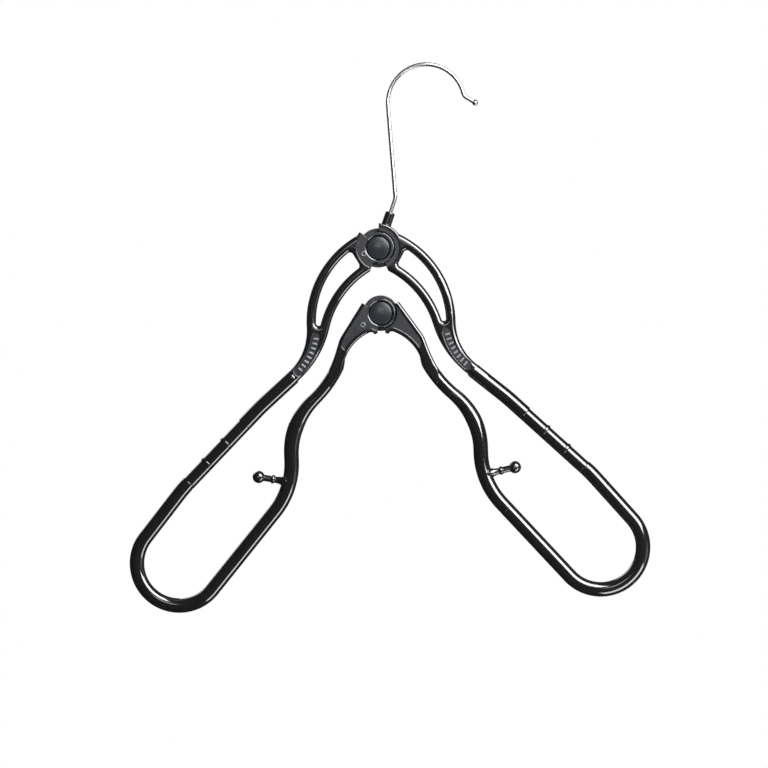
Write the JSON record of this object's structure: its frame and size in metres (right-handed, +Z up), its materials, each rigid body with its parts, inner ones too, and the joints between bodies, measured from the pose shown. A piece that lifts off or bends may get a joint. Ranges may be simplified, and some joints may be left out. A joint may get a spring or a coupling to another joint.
{
  "type": "folding travel hanger",
  "caption": "Folding clothes hanger: swivelling wire hook, two hinged arm pairs joined by flexible end bows, notched shoulder tubes and ball pegs for straps.",
  "frame": {"origin": "top of the hook's inside, where it bears on a rail", "axes": "+Z up along the hanging direction, +X to the right as seen from the front, front faces -Y"},
  "size_m": [0.3126, 0.0096, 0.3245],
  "materials": {
    "wire": "polished chrome plating",
    "arm_plastic": "glossy black, satin webs",
    "bow_plastic": "glossy black",
    "cap_plastic": "matte black",
    "rivet_steel": "plain turned steel",
    "washer_plastic": "natural nylon"
  },
  "bodies": {
    "hook": {"hook_wire": "wire", "hook_retaining_ring": "rivet_steel"},
    "right_upper": {"right_upper_arm": "arm_plastic", "upper_hinge_rivet": "rivet_steel", "upper_hinge_burr_washer": "rivet_steel", "upper_hinge_friction_washer": "washer_plastic", "upper_hinge_back_cap": "cap_plastic"},
    "left_upper": {"left_upper_arm": "arm_plastic", "upper_hinge_front_cap": "cap_plastic"},
    "right_bow": {"right_end_bow": "bow_plastic"},
    "left_bow": {"left_end_bow": "bow_plastic"},
    "right_lower": {"right_lower_arm": "arm_plastic", "lower_hinge_rivet": "rivet_steel", "lower_hinge_burr_washer": "rivet_steel", "lower_hinge_friction_washer": "washer_plastic", "lower_hinge_back_cap": "cap_plastic"},
    "left_lower": {"left_lower_arm": "arm_plastic", "lower_hinge_front_cap": "cap_plastic"}
  },
  "joints": [
    {"name": "hook_swivel", "type": "hinge", "parent": "hook", "child": "right_upper", "pos_m": [-0.032, 0, -0.1078], "axis": [0.36, 0, 0.933], "continuous": true},
    {"name": "fold", "type": "hinge", "parent": "right_upper", "child": "left_upper", "pos_m": [-0.032, 0, -0.1078], "axis": [0, 1, 0], "range_deg": [-17, 38]},
    {"name": "right_upper_flex", "type": "hinge", "parent": "right_upper", "child": "right_bow", "pos_m": [0.10038, 0, -0.25962], "axis": [0, 1, 0], "range_deg": [-5.1, 11.3], "deforming": ["right_end_bow"]},
    {"name": "right_lower_flex", "type": "hinge", "parent": "right_bow", "child": "right_lower", "pos_m": [0.0573, 0, -0.28809], "axis": [0, -1, 0], "range_deg": [-6.5, 14.4]},
    {"name": "left_upper_flex", "type": "hinge", "parent": "left_upper", "child": "left_bow", "pos_m": [-0.16438, 0, -0.25962], "axis": [0, -1, 0], "range_deg": [-5.1, 11.3], "deforming": ["left_end_bow"]},
    {"name": "left_lower_flex", "type": "hinge", "parent": "left_bow", "child": "left_lower", "pos_m": [-0.1213, 0, -0.28809], "axis": [0, 1, 0], "range_deg": [-6.5, 14.4]}
  ],
  "couplings": [
    {"joint": "right_upper_flex", "follows": "fold", "ratio": 0.2935},
    {"joint": "right_lower_flex", "follows": "fold", "ratio": 0.37402},
    {"joint": "left_upper_flex", "follows": "fold", "ratio": 0.2935},
    {"joint": "left_lower_flex", "follows": "fold", "ratio": 0.37402}
  ]
}
